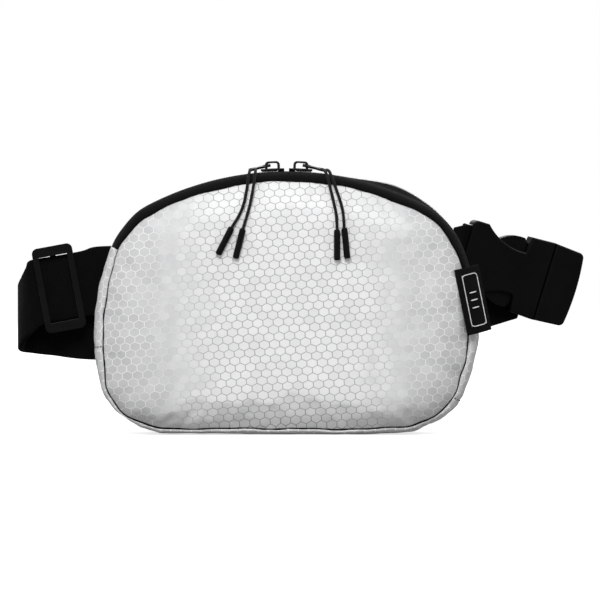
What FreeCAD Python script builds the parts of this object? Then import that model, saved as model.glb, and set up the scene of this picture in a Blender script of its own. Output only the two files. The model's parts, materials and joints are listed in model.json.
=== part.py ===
import FreeCAD, Part
import math
import os

# Zipped waist pack on a webbing belt.  Millimetres, +Z up, the front panel faces -Y and
# the pack stands on its bottom gusset.  The origin is on the resting face, below the
# middle of the top zipper.

# ---- driving dimensions -------------------------------------------------------------
bag_height = 139.0            # resting face to the top of the zipper tape
crown_radius = 160.0          # long arc over the top
crown_turn = 27.0             # degrees from the middle to where the shoulder starts
shoulder_radius = 46.0
shoulder_turn = 72.0
side_radius = 122.0
side_turn = 104.0
front_seam_y = -19.0
front_roll_y = -10.0
rear_roll_y = 16.0
rear_seam_y = 21.0
front_seam_inset = 5.0
rear_seam_inset = 3.0
skin = 1.4                    # fabric with its foam backing and lining
zipper_end_z = 99.0

coil_gap = 0.7                # half the slot between the two coil halves
coil_half_width = 3.2
coil_rise = 0.3
rear_tape_y = 12.0

webbing_width = 35.0
webbing = 1.4                 # thickness of the webbing
layer_gap = 0.3               # between the doubled webbing's two layers

slider_length = 12.4
slider_width = 9.6             # at the nose
slider_rest_turn = 2.65       # degrees each side of the middle
crown_height = 4.0            # arch that holds the pull link
crown_bar = 1.0
crown_half = 4.0
crown_post = 1.4
crown_depth = 1.1             # half its width across the tape
crossbar_gap = 0.45
link_rest_tilt = 11.0         # degrees below the tape's tangent
link_roll = 8.0               # degrees its face leans to the front
link_thickness = 1.2
link_half_width = 2.7
link_eye = 9.2                # crossbar to the middle of the cord eye
eye_radius = 1.3
eye_margin = 2.2              # eye's middle to the link's end
waist_radius = 3.2            # round notch in each long edge
waist_x = 5.9
waist_out = 2.2               # how far its centre is outside the edge
cord_diameter = 1.6
tip_diameter = 3.3
tip_length = 16.0

glide_length = 46.0           # along the webbing's width
glide_width = 21.8
glide_end = 5.2               # end bars, clear of the webbing's edges
glide_bar = 3.2               # side bars
glide_corner = 3.0
glide_front = 3.3             # how far the frame stands in front of its middle
glide_rear = 2.9              # and behind it
glide_slot = 1.1              # webbing slot's half depth
centre_bar_half = 1.6
glide_centre = FreeCAD.Vector(-122.4, 19.0, 76.8)
glide_tilt = 10.5             # degrees the long axis leans away from upright
glide_yaw = 5.5               # degrees its outer side is turned to the front
glide_inwards = 15.6          # webbing is straight this far towards the pack
glide_outwards = 12.6         # and this far towards the fold

buckle_length = 66.0
buckle_half_width = 21.7      # at the socket's mouth
head_half_width = 20.9        # at the end that holds the tab
collar_half_width = 21.0      # where the collar starts
plug_far_half_width = 20.4
plug_crown = 1.6              # how far the plug's end bows out between its corners
buckle_half_depth = 5.5
mouth_u = 47.4                # where the socket ends and the plug's base begins
buckle_drop = 17.0            # degrees the buckle hangs below level
buckle_yaw = 12.0             # degrees it points behind the pack
buckle_start = FreeCAD.Vector(94.3, 28.6, 94.0)

os.makedirs("parts", exist_ok=True)


def vec(x, y, z):
    return FreeCAD.Vector(x, y, z)


def save(shape, name):
    solids = shape.Solids
    shape = solids[0] if len(solids) == 1 else Part.makeCompound(solids)
    if not shape.isValid() or not solids:
        raise ValueError(name + " isn't a valid solid")
    shape.exportStep("parts/" + name + ".step")
    return shape


def box(low, high):
    size = [b - a for a, b in zip(low, high)]
    return Part.makeBox(size[0], size[1], size[2], vec(*low))


def rounded(shape, radius, direction):
    """Fillet the straight edges that run along one direction."""
    edges = []
    for edge in shape.Edges:
        if isinstance(edge.Curve, Part.Line) and abs(edge.Curve.Direction.dot(direction)) > 0.999:
            edges.append(edge)
    return shape.makeFillet(radius, edges)


# ---- the pack's outline: four arcs a side, all parallel offsets share their centres ----
def outline_arcs():
    """Centre x, centre z, radius, first turn and last turn of the right-hand arcs."""
    x, z = 0.0, bag_height - crown_radius
    arcs = [(x, z, crown_radius, 0.0, crown_turn)]
    radii = [crown_radius, shoulder_radius, side_radius]
    turns = [crown_turn, shoulder_turn, side_turn]
    for i in (1, 2):
        turn = math.radians(turns[i - 1])
        x += (radii[i - 1] - radii[i]) * math.sin(turn)
        z += (radii[i - 1] - radii[i]) * math.cos(turn)
        arcs.append((x, z, radii[i], turns[i - 1], turns[i]))
    turn = math.radians(side_turn)
    corner = (z + side_radius * math.cos(turn)) / (1 + math.cos(turn))
    x += (side_radius - corner) * math.sin(turn)
    arcs.append((x, corner, corner, side_turn, 180.0))
    return arcs


ARCS = outline_arcs()


def on_arc(arc, turn, inset, y, side):
    x, z, radius = arc[:3]
    angle = math.radians(turn)
    return vec(side * (x + (radius - inset) * math.sin(angle)), y,
               z + (radius - inset) * math.cos(angle))


def arc_edge(arc, inset, y, side, backwards):
    first, last = (arc[4], arc[3]) if backwards else (arc[3], arc[4])
    turns = [first, (first + last) / 2, last]
    ends = [on_arc(arc, turn, inset, y, side) for turn in turns]
    return Part.Arc(*ends).toShape()


def outline(inset, y):
    """Closed outline of the pack, moved inwards by inset, in the plane at y."""
    top = [on_arc(ARCS[0], turn, inset, y, side)
           for turn, side in ((crown_turn, -1), (0.0, 1), (crown_turn, 1))]
    edges = [Part.Arc(*top).toShape()]
    edges += [arc_edge(arc, inset, y, 1, False) for arc in ARCS[1:]]
    edges.append(Part.LineSegment(on_arc(ARCS[3], 180.0, inset, y, 1),
                                  on_arc(ARCS[3], 180.0, inset, y, -1)).toShape())
    edges += [arc_edge(arc, inset, y, -1, True) for arc in reversed(ARCS[1:])]
    return Part.Wire(edges)


def loft(sections):
    return Part.makeLoft([outline(inset, y) for inset, y in sections], True, True)


def band(outer_inset, inner_inset, y0, y1):
    return loft([(outer_inset, y0), (outer_inset, y1)]).cut(
        loft([(inner_inset, y0 - 1), (inner_inset, y1 + 1)]))


def slab(y0, y1, z0, z1):
    return box((-200, y0, z0), (200, y1, z1))


def make_shell():
    profile = [(front_seam_inset, front_seam_y), (0.0, front_roll_y), (0.0, rear_roll_y),
               (rear_seam_inset, rear_seam_y)]
    hollow = [(inset + skin, y) for inset, y in profile]
    ring = loft(profile).cut(loft(hollow))
    top = zipper_end_z, bag_height + 10
    save(ring.common(slab(-40, 40, -10, zipper_end_z)), "bottom_gusset")
    save(ring.common(slab(-40, -coil_half_width, *top)), "zipper_tape_front")
    save(ring.common(slab(coil_half_width, rear_tape_y, *top)), "zipper_tape_rear")
    save(ring.common(slab(rear_tape_y, 40, *top)), "rear_gusset_strip")
    for name, y0, y1 in (("front", -coil_half_width, -coil_gap), ("rear", coil_gap, coil_half_width)):
        coil = band(-coil_rise, skin + coil_rise, y0, y1)
        save(coil.common(slab(-40, 40, *top)), "zipper_coil_" + name)


def dish(depths, thickness, rim_inset):
    """A crowned panel, open towards the back, from (inset, y) stations."""
    outer = loft(depths)
    inner = [(inset + rim_inset, y + (0.0 if i == 0 else thickness))
             for i, (inset, y) in enumerate(depths)]
    return outer.cut(loft(inner))


def make_panels():
    crown = [(front_seam_inset, front_seam_y), (15.0, -25.0), (31.0, -27.5)]
    save(dish(crown, skin, skin), "front_panel")
    inner_crown = [(inset + skin + 0.3, y + (skin + 0.3 if i else 0.0))
                   for i, (inset, y) in enumerate(crown)]
    save(dish(inner_crown, 0.8, 0.8), "front_lining")
    back_y = rear_seam_y + skin
    save(loft([(rear_seam_inset, rear_seam_y), (rear_seam_inset, back_y)]), "back_panel")
    save(loft([(6.9, rear_seam_y - 0.9), (6.9, rear_seam_y)]), "back_lining")
    save(band(6.6, 8.4, front_seam_y + 0.2, front_seam_y + 3.2), "seam_binding_front")
    save(band(4.9, 6.7, rear_seam_y - 3.4, rear_seam_y - 0.2), "seam_binding_rear")


# ---- side-release buckle's own frame: u along it, v across it, w to the front ----------
DROP = math.radians(buckle_drop)
YAW = math.radians(buckle_yaw)
BUCKLE_U = vec(math.cos(DROP) * math.cos(YAW), math.sin(YAW), -math.sin(DROP) * math.cos(YAW))
BUCKLE_V = vec(math.sin(DROP), 0, math.cos(DROP))
BUCKLE_W = BUCKLE_U.cross(BUCKLE_V)


# ---- ribbons of webbing --------------------------------------------------------------
def ribbon(stations, width, thickness):
    """A flat strip through stations of (centre, direction across its width)."""
    centres = [station[0] for station in stations]
    wires = []
    for i, (centre, across) in enumerate(stations):
        ahead = centres[min(i + 1, len(centres) - 1)]
        behind = centres[max(i - 1, 0)]
        normal = (ahead - behind).cross(across).normalize()
        edge = vec(across.x, across.y, across.z).normalize() * (width / 2)
        half = normal * (thickness / 2)
        corners = [centre + edge + half, centre + edge - half,
                   centre - edge - half, centre - edge + half]
        wires.append(Part.makePolygon(corners + corners[:1]))
    return Part.makeLoft(wires, True, True)


UP = vec(0, 0, 1)
GLIDE_UP = vec(-math.sin(math.radians(glide_tilt)), 0, math.cos(math.radians(glide_tilt)))
GLIDE_TURN = FreeCAD.Rotation(GLIDE_UP, glide_yaw)
GLIDE_ALONG = GLIDE_TURN.multVec(vec(-GLIDE_UP.z, 0, GLIDE_UP.x))      # outwards along the webbing
GLIDE_BACK = GLIDE_TURN.multVec(vec(0, 1, 0))

# middle line of the doubled webbing behind the pack, from the buckle to the left fold
BACK_RUN = [vec(130.5, 45.6, 76.6), vec(92.0, 38.4, 68.0), vec(56.0, 27.0, 65.0),
            vec(-20.0, 26.6, 60.5), vec(-96.0, 27.6, 55.6), vec(-128.0, 33.2, 57.8)]
# middle line of the same doubled webbing round the left fold, from front to back
FOLD = [vec(-138.0, 18.3, 70.5), vec(-141.6, 21.0, 65.5), vec(-143.5, 25.4, 61.2),
        vec(-142.4, 29.9, 59.7), vec(-138.5, 32.7, 59.0)]
FOLD_MIDDLE = vec(-134.0, 26.0, 0.0)


def make_waist_strap():
    anchor = [(vec(-84.0, 23.2, 82.6), GLIDE_UP), (vec(-100.0, 23.3, 81.9), GLIDE_UP)]
    start = glide_centre - GLIDE_ALONG * glide_inwards
    end = glide_centre + GLIDE_ALONG * glide_outwards
    anchor += [(start, GLIDE_UP), (end, GLIDE_UP)]
    save(ribbon(anchor, webbing_width, webbing), "waist_strap_anchor")

    half_step = (webbing + layer_gap) / 2
    outer = [(end, GLIDE_UP)]
    inner = [(end + GLIDE_BACK * (2 * half_step), GLIDE_UP)]
    for i, point in enumerate(FOLD):
        away = vec(point.x - FOLD_MIDDLE.x, point.y - FOLD_MIDDLE.y, 0).normalize() * half_step
        lean = UP if i else (UP + GLIDE_UP).normalize()
        outer.append((point + away, lean))
        inner.append((point - away, lean))
    for point in reversed(BACK_RUN):
        across = BUCKLE_V if point == BACK_RUN[0] else UP
        outer.append((point + vec(0, half_step, 0), across))
        inner.append((point - vec(0, half_step, 0), across))
    save(ribbon(outer, webbing_width, webbing), "waist_strap_outer")
    save(ribbon(inner, webbing_width, webbing), "waist_strap_inner")


# ---- tri-glide on the left -------------------------------------------------------------
def make_tri_glide():
    """Long axis along z, webbing along x, front towards -y, centred on its own origin."""
    half_l, half_w = glide_length / 2, glide_width / 2
    frame = box((-half_w, -glide_front, -half_l), (half_w, glide_rear, half_l))
    frame = rounded(frame, glide_corner, vec(0, 1, 0))
    inner_l = half_l - glide_end
    frame = frame.cut(box((-half_w - 1, -glide_slot, -inner_l), (half_w + 1, 4, inner_l)))
    frame = frame.cut(box((-half_w + glide_bar, -5, -inner_l), (half_w - glide_bar, 4, inner_l)))
    centre_bar = box((-centre_bar_half, glide_slot, -half_l + 1), (centre_bar_half, glide_rear, half_l - 1))
    centre_bar = rounded(centre_bar, 0.7, UP)
    frame = frame.fuse(centre_bar).removeSplitter()
    frame.rotate(vec(0, 0, 0), vec(0, 1, 0), -glide_tilt)
    frame.rotate(vec(0, 0, 0), GLIDE_UP, glide_yaw)
    frame.translate(glide_centre)
    save(frame, "tri_glide")

    loop = []
    for along, back in ((7.6, 2.4), (3.4, 3.0), (0.0, 4.2), (-3.4, 3.1)):
        loop.append((glide_centre + GLIDE_ALONG * along + GLIDE_BACK * back, GLIDE_UP))
    save(ribbon(loop, webbing_width - 0.6, 1.0), "strap_end_loop")


# ---- side-release buckle ---------------------------------------------------------------
def at_buckle(u, v, w):
    return buckle_start + BUCKLE_U * u + BUCKLE_V * v + BUCKLE_W * w


def place_buckle(shape):
    matrix = FreeCAD.Matrix(
        BUCKLE_U.x, BUCKLE_V.x, BUCKLE_W.x, buckle_start.x,
        BUCKLE_U.y, BUCKLE_V.y, BUCKLE_W.y, buckle_start.y,
        BUCKLE_U.z, BUCKLE_V.z, BUCKLE_W.z, buckle_start.z, 0, 0, 0, 1)
    shape = shape.copy()
    shape.Placement = FreeCAD.Placement(matrix)
    return shape


def plate(points, w0, w1):
    """Extrude a closed (u, v) outline; a three-number point is an arc's middle."""
    edges = []
    i = 0
    while i < len(points):
        here = vec(points[i][0], points[i][1], w0)
        after = points[(i + 1) % len(points)]
        if len(after) == 3:
            far = points[(i + 2) % len(points)]
            edges.append(Part.Arc(here, vec(after[0], after[1], w0), vec(far[0], far[1], w0)).toShape())
            i += 2
        else:
            edges.append(Part.LineSegment(here, vec(after[0], after[1], w0)).toShape())
            i += 1
    return Part.Face(Part.Wire(edges)).extrude(vec(0, 0, w1 - w0))


def mirrored(points):
    """An outline from its upper half, which runs from the v axis round to the v axis."""
    return points + [(p[0], -p[1]) + tuple(p[2:]) for p in reversed(points)]


socket_half_width = 17.2
socket_half_depth = 3.3
collar_u = 33.6
window_half_width = 11.8
cavity_u = 14.6               # where the room for the prongs starts
prong_root = (45.8, 12.0)
webbing_room = 17.9           # half the width left for the webbing
buckle_edge = 1.1             # round along the socket's edges
plug_edge = 1.2
head_corner = 2.6
plug_corner = 3.0
joint_gap = 0.35              # between the socket's mouth and the plug's base
prong_half_depth = 2.8


def make_socket():
    half, corner = head_half_width, head_corner
    upper = [(0.0, half - corner), (0.76, half - 0.76, 1), (corner, half), (8.6, half),
             (15.6, 15.6, 1), (28.5, window_half_width), (collar_u - 1.2, window_half_width),
             (collar_u, collar_half_width), (mouth_u, buckle_half_width)]
    body = plate(mirrored(upper), -buckle_half_depth, buckle_half_depth)
    ends = [e for e in body.Edges if abs(e.BoundBox.ZLength) < 1e-6]
    body = body.makeFillet(buckle_edge, ends)
    body = body.cut(box((cavity_u, -socket_half_width, -socket_half_depth),
                        (mouth_u + 5.0, socket_half_width, socket_half_depth)))
    body = body.cut(box((-2.0, -webbing_room, -8.0), (10.4, webbing_room, 2.7)))
    crossbar = rounded(box((4.0, -webbing_room - 1, -2.4), (6.6, webbing_room + 1, 0.2)), 0.8, vec(0, 1, 0))
    body = body.fuse(crossbar).removeSplitter()
    save(place_buckle(body), "buckle_socket")


def make_plug():
    half, far = buckle_half_width - 0.1, plug_far_half_width
    start = mouth_u + joint_gap
    shoulder = buckle_length - plug_crown
    points = [(start, half), (shoulder, far), (buckle_length, 0.0, 1), (shoulder, -far), (start, -half)]
    body = plate(points, -buckle_half_depth + 0.3, buckle_half_depth - 0.3)
    corners = [e for e in body.Edges if e.BoundBox.ZLength > 1 and e.BoundBox.XMin > shoulder - 0.1]
    body = body.makeFillet(plug_corner, corners)
    ends = [e for e in body.Edges if abs(e.BoundBox.ZLength) < 1e-6]
    body = body.makeFillet(plug_edge, ends)
    body = body.cut(box((start + 2.4, -webbing_room, -8.0), (shoulder - 1.6, webbing_room, 1.6)))
    crossbar = box((56.0, -webbing_room - 0.6, -4.6), (59.2, webbing_room + 0.6, -1.8))
    crossbar = rounded(crossbar, 0.9, vec(0, 1, 0))
    guide = rounded(box((21.5, -2.4, -2.6), (start + 1, 2.4, 2.6)), 1.0, vec(1, 0, 0))
    body = body.fuse(crossbar).fuse(guide).removeSplitter()
    save(place_buckle(body), "buckle_plug")

    loop = [(47.9, -9.6), (56.6, -8.6), (61.0, -6.6), (61.6, -3.4), (60.0, -0.6), (55.6, -0.6),
            (53.8, -3.4), (52.2, -6.4), (46.9, -7.6)]
    stations = [(at_buckle(u, 0, w), BUCKLE_V) for u, w in loop]
    save(ribbon(stations, webbing_width, webbing), "strap_plug_loop")


def make_prongs():
    u0, v0 = prong_root
    head = [(u0, v0 + 1.6), (u0 - 13.2, v0 + 1.8), (32.4, 17.0), (30.6, 19.4), (23.4, 18.8, 1),
            (16.4, 14.6), (15.8, 12.4, 1), (17.0, 11.0), (28.0, 9.9), (u0, v0 - 1.6),
            (u0 + 1.6, v0, 1)]
    for name, side in (("upper", 1), ("lower", -1)):
        points = [(p[0], side * p[1]) + tuple(p[2:]) for p in head]
        prong = plate(points, -prong_half_depth, prong_half_depth)
        save(place_buckle(prong), "buckle_prong_" + name)


def make_buckle_tab():
    loop = [(-1.0, 1.5), (6.4, 1.5), (8.2, -1.1), (6.4, -3.8), (-1.0, -3.3), (-3.5, -1.6)]
    stations = [(vec(90.2, 23.5, 92.1), UP)]
    stations += [(at_buckle(u, 0, w), BUCKLE_V) for u, w in loop]
    save(ribbon(stations, webbing_width, webbing), "buckle_tab")


# ---- woven label in the right-hand front seam --------------------------------------------
def make_label():
    lean = vec(-math.sin(math.radians(12.0)), 0, math.cos(math.radians(12.0)))
    inner = vec(91.0, -23.6, 70.0)
    outer = vec(103.6, -20.0, 73.0)
    save(ribbon([(inner, lean), (outer, lean)], 35.0, 0.7), "side_label")


# ---- zipper sliders, pull links and cord pulls -------------------------------------------
def on_crown(shape, turn):
    """Carry a shape built over x = 0, with z above the tape, round the crown by turn."""
    shape = shape.copy()
    shape.translate(vec(0, 0, bag_height))
    shape.rotate(vec(0, 0, bag_height - crown_radius), vec(0, 1, 0), turn)
    return shape


plate_low = coil_rise + 0.35
plate_top = plate_low + 1.0
crossbar_x = crown_half - crown_post - crossbar_gap - link_thickness / 2
crossbar_z = plate_top + crown_height - crown_bar - crossbar_gap - link_thickness / 2
tail_half = slider_width / 2 - 0.5


def wedge_plate(z0, z1):
    """A slider plate, wide at the nose (-x) and narrower at the tail."""
    half = slider_length / 2
    points = [(-half, 2.0), (-half + 2.4, slider_width / 2), (half, tail_half)]
    shape = plate(mirrored(points), z0, z1)
    return rounded(shape, 0.7, UP)


def arch(half, depth, low, high, radius):
    """A block whose two upper edges are rounded over."""
    block = box((-half, -depth, low), (half, depth, high))
    tops = [e for e in block.Edges if e.BoundBox.ZMin > high - 0.01 and e.BoundBox.YLength > depth]
    return block.makeFillet(radius, tops)


def make_slider(side):
    top = wedge_plate(plate_low, plate_top)
    low = wedge_plate(-skin - coil_rise - 1.5, -skin - coil_rise - 0.5)
    body = top.fuse(low).fuse(box((-slider_length / 2, -0.35, -3.0), (-slider_length / 2 + 3.4, 0.35, 1.0)))
    for edge in (-1, 1):
        y0, y1 = sorted((edge * tail_half, edge * (tail_half - 0.75)))
        body = body.fuse(box((-2.4, y0, 0.32), (slider_length / 2 - 0.6, y1, plate_low + 0.1)))
    crown = arch(crown_half, crown_depth, plate_top - 0.3, plate_top + crown_height, 2.0)
    window = arch(crown_half - crown_post, 2.0, plate_top + 0.2, plate_top + crown_height - crown_bar, 1.0)
    body = body.fuse(crown.cut(window)).removeSplitter()
    if side < 0:
        body = body.mirror(vec(0, 0, 0), vec(1, 0, 0))
    return on_crown(body, side * slider_rest_turn)


def make_link(side):
    half, deep = link_half_width, link_thickness / 2
    body = rounded(box((-deep, -half, -deep), (link_eye + eye_margin, half, deep)), 0.5, UP)
    body = body.cut(box((deep, -1.6, -1), (3.6, 1.6, 1)))
    body = body.cut(Part.makeCylinder(eye_radius, 3, vec(link_eye, 0, -1.5), UP))
    for edge in (-1, 1):
        waist = Part.makeCylinder(waist_radius, 3, vec(waist_x, edge * (half + waist_out), -1.5), UP)
        body = body.cut(waist)
    body.rotate(vec(0, 0, 0), vec(1, 0, 0), link_roll)
    body.rotate(vec(0, 0, 0), vec(0, 1, 0), link_rest_tilt)
    body.translate(vec(crossbar_x, 0, crossbar_z))
    if side < 0:
        body = body.mirror(vec(0, 0, 0), vec(1, 0, 0))
    return on_crown(body, side * slider_rest_turn)


def crown_point(side, x, z):
    """Where a point built over x = 0 lands once its slider sits at rest."""
    radius = crown_radius + z
    angle = math.radians(slider_rest_turn) + math.atan2(x, radius)
    reach = math.hypot(x, radius)
    return vec(side * reach * math.sin(angle), 0, bag_height - crown_radius + reach * math.cos(angle))


def cord_tube(points, diameter):
    """Straight runs joined by the largest tangent arcs; returns the solid and its length."""
    edges, radii = [], []
    last = points[0]
    for a, b, c in zip(points, points[1:], points[2:]):
        before, after = (b - a), (c - b)
        turn = before.getAngle(after)
        reach = 0.45 * min(before.Length, after.Length)
        radii.append(reach / math.tan(turn / 2))
        start = b - before.normalize() * reach
        finish = b + after.normalize() * reach
        bisector = (finish - b).normalize() + (start - b).normalize()
        centre = b + bisector.normalize() * (radii[-1] / math.cos(turn / 2))
        middle = centre + (b - centre).normalize() * radii[-1]
        edges.append(Part.LineSegment(last, start).toShape())
        edges.append(Part.Arc(start, middle, finish).toShape())
        last = finish
    edges.append(Part.LineSegment(last, points[-1]).toShape())
    path = Part.Wire(edges)
    circle = Part.Circle(points[0], (points[1] - points[0]), diameter / 2).toShape()
    tube = path.makePipeShell([Part.Wire([circle])], True, False)
    expected = path.Length * math.pi * diameter ** 2 / 4
    return tube, path.Length, min(radii), tube.Volume / expected


# routes of the four cord tails, from the pull link to the moulded tip
CORD_ROUTES = {
    "left_outer": [(-18.9, -2.9, 140.0), (-19.2, -10.5, 140.0), (-19.9, -18.6, 136.2), (-20.6, -24.6, 129.6),
                   (-22.2, -28.0, 120.8), (-25.4, -29.2, 114.0), (-28.4, -29.9, 109.4)],
    "left_inner": [(-16.5, -2.9, 140.2), (-16.2, -10.5, 140.1), (-16.5, -18.6, 136.4), (-17.4, -24.6, 129.8),
                   (-19.0, -28.0, 120.6), (-21.0, -29.2, 114.0), (-22.6, -29.9, 108.6)],
    "right_inner": [(18.6, -2.9, 140.1), (19.9, -10.5, 140.0), (21.6, -18.6, 136.1), (23.0, -24.6, 129.6),
                    (25.0, -28.0, 121.2), (26.3, -29.2, 114.8), (26.4, -29.9, 108.2)],
    "right_outer": [(21.0, -2.9, 139.8), (22.2, -10.5, 139.8), (23.7, -18.6, 136.0), (26.0, -24.6, 129.4),
                    (28.7, -28.0, 121.4), (29.9, -29.2, 115.2), (30.1, -29.9, 109.0)],
}
TIP_ENDS = {
    "left_outer": (-35.6, -30.3, 95.2),
    "left_inner": (-26.6, -30.3, 92.8),
    "right_inner": (26.4, -30.3, 92.2),
    "right_outer": (31.8, -30.3, 93.0),
}


def make_tip(start, end):
    """A moulded tube tip with a soft shoulder and a round end."""
    axis = (end - start).normalize()
    radius = tip_diameter / 2
    sides = [(0, 0), (cord_diameter / 2 + 0.35, 0), (radius, 0.8), (radius, tip_length - 0.9)]
    edges = [Part.LineSegment(vec(a[0], 0, a[1]), vec(b[0], 0, b[1])).toShape()
             for a, b in zip(sides, sides[1:])]
    edges.append(Part.Arc(vec(radius, 0, tip_length - 0.9), vec(radius - 0.26, 0, tip_length - 0.26),
                          vec(radius - 0.9, 0, tip_length)).toShape())
    edges.append(Part.LineSegment(vec(radius - 0.9, 0, tip_length), vec(0, 0, tip_length)).toShape())
    edges.append(Part.LineSegment(vec(0, 0, tip_length), vec(0, 0, 0)).toShape())
    tip = Part.Face(Part.Wire(edges)).revolve(vec(0, 0, 0), UP, 360)
    tip = Part.Solid(tip) if tip.ShapeType == "Shell" else tip
    tip.Placement = FreeCAD.Placement(start, FreeCAD.Rotation(UP, axis))
    return tip


def make_pulls():
    for name, side in (("left", -1), ("right", 1)):
        save(make_slider(side), "slider_" + name)
        save(make_link(side), "pull_link_" + name)
    for name, route in CORD_ROUTES.items():
        points = [vec(*point) for point in route]
        tube, length, tightest, fullness = cord_tube(points, cord_diameter)
        save(tube, "pull_cord_" + name)
        print("cord %s: length %.1f, tightest radius %.1f, volume ratio %.3f"
              % (name, length, tightest, fullness))
        save(make_tip(points[-1], vec(*TIP_ENDS[name])), "cord_tip_" + name)


def print_axes():
    tilt = math.radians(link_rest_tilt)
    pivot = crown_point(1, crossbar_x, crossbar_z)
    eye = crown_point(1, crossbar_x + link_eye * math.cos(tilt), crossbar_z - link_eye * math.sin(tilt))
    print("right link pivot %.4f %.4f" % (pivot.x, pivot.z))
    print("right link eye %.4f %.4f" % (eye.x, eye.z))
    print("glide along %.6f %.6f %.6f" % tuple(GLIDE_ALONG))
    print("buckle start", buckle_start, "u", BUCKLE_U, "v", BUCKLE_V, "w", BUCKLE_W)


make_shell()
make_panels()
make_waist_strap()
make_tri_glide()
make_socket()
make_plug()
make_prongs()
make_buckle_tab()
make_label()
make_pulls()
print_axes()
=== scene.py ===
import json
import math

import bmesh
import bpy
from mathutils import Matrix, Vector, noise


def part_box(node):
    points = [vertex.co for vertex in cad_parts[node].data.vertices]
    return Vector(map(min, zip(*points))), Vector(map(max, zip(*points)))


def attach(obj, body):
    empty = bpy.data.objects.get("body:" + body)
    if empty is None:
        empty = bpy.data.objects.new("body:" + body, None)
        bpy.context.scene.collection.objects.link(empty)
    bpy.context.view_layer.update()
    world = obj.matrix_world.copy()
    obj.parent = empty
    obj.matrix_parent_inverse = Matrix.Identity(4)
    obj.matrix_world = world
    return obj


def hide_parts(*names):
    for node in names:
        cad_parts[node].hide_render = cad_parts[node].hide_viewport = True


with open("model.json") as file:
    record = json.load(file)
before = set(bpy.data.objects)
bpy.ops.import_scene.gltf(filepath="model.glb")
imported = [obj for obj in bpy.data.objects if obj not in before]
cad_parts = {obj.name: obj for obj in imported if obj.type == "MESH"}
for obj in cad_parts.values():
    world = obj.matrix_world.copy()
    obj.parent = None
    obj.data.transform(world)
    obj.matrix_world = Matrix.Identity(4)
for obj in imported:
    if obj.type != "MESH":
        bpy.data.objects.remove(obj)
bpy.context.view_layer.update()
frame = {"nodes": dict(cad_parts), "record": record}

MM = 0.001
PI = math.pi


def in_mm(point):
    return Vector(point) / MM


# ---- camera and studio ------------------------------------------------------------------
VIEW_CENTRE = Vector((7.1, -19.0, 71.3))
VIEW_DISTANCE = 1600.0
VIEW_WIDTH = 314.7            # what the frame takes in across, at the front of the pack
VIEW_ELEVATION = math.radians(1.2)
SENSOR = 36.0


def make_camera():
    data = bpy.data.cameras.new("camera")
    data.sensor_width = SENSOR
    data.lens = SENSOR * VIEW_DISTANCE / VIEW_WIDTH
    data.clip_end = 30.0
    camera = bpy.data.objects.new("camera", data)
    back = Vector((0.0, -math.cos(VIEW_ELEVATION), math.sin(VIEW_ELEVATION)))
    camera.location = (VIEW_CENTRE + back * VIEW_DISTANCE) * MM
    camera.rotation_euler = (PI / 2 - VIEW_ELEVATION, 0.0, 0.0)
    bpy.context.scene.collection.objects.link(camera)
    bpy.context.scene.camera = camera


def area_light(name, place, aim, size, power):
    data = bpy.data.lights.new(name, "AREA")
    data.shape = "RECTANGLE"
    data.size, data.size_y = size
    data.energy = power
    light = bpy.data.objects.new(name, data)
    light.location = place
    light.rotation_euler = (Vector(aim) - Vector(place)).to_track_quat("-Z", "Y").to_euler()
    bpy.context.scene.collection.objects.link(light)


LIGHT_AIM = (0.0, 0.0, 0.07)
# name, place and size in metres, power in watts
LIGHTS = (
    ("key", (-0.15, -1.35, 1.25), (1.0, 0.8), 24.0),
    ("side_left", (-1.55, -0.75, 0.3), (0.5, 1.2), 6.0),
    ("side_right", (1.55, -0.75, 0.3), (0.5, 1.2), 5.0),
    ("behind", (0.3, 1.6, 0.9), (1.6, 1.0), 9.0),
)
FILL_STRENGTH = 0.30          # what the white surroundings light the pack with
BACKDROP_STRENGTH = 1.0       # how bright they look


def make_studio():
    for name, place, size, power in LIGHTS:
        area_light(name, place, LIGHT_AIM, size, power)
    world = bpy.data.worlds.new("studio")
    bpy.context.scene.world = world
    world.use_nodes = True
    tree = world.node_tree
    tree.nodes.clear()
    output = tree.nodes.new("ShaderNodeOutputWorld")
    fill, backdrop = (tree.nodes.new("ShaderNodeBackground") for _ in range(2))
    for node, strength in ((fill, FILL_STRENGTH), (backdrop, BACKDROP_STRENGTH)):
        node.inputs["Strength"].default_value = strength
        node.inputs["Color"].default_value = (1.0, 1.0, 1.0, 1.0)
    path = tree.nodes.new("ShaderNodeLightPath")
    mix = tree.nodes.new("ShaderNodeMixShader")
    tree.links.new(path.outputs["Is Camera Ray"], mix.inputs[0])
    tree.links.new(fill.outputs[0], mix.inputs[1])
    tree.links.new(backdrop.outputs[0], mix.inputs[2])
    tree.links.new(mix.outputs[0], output.inputs["Surface"])
    bpy.context.scene.view_settings.view_transform = "Standard"


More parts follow.
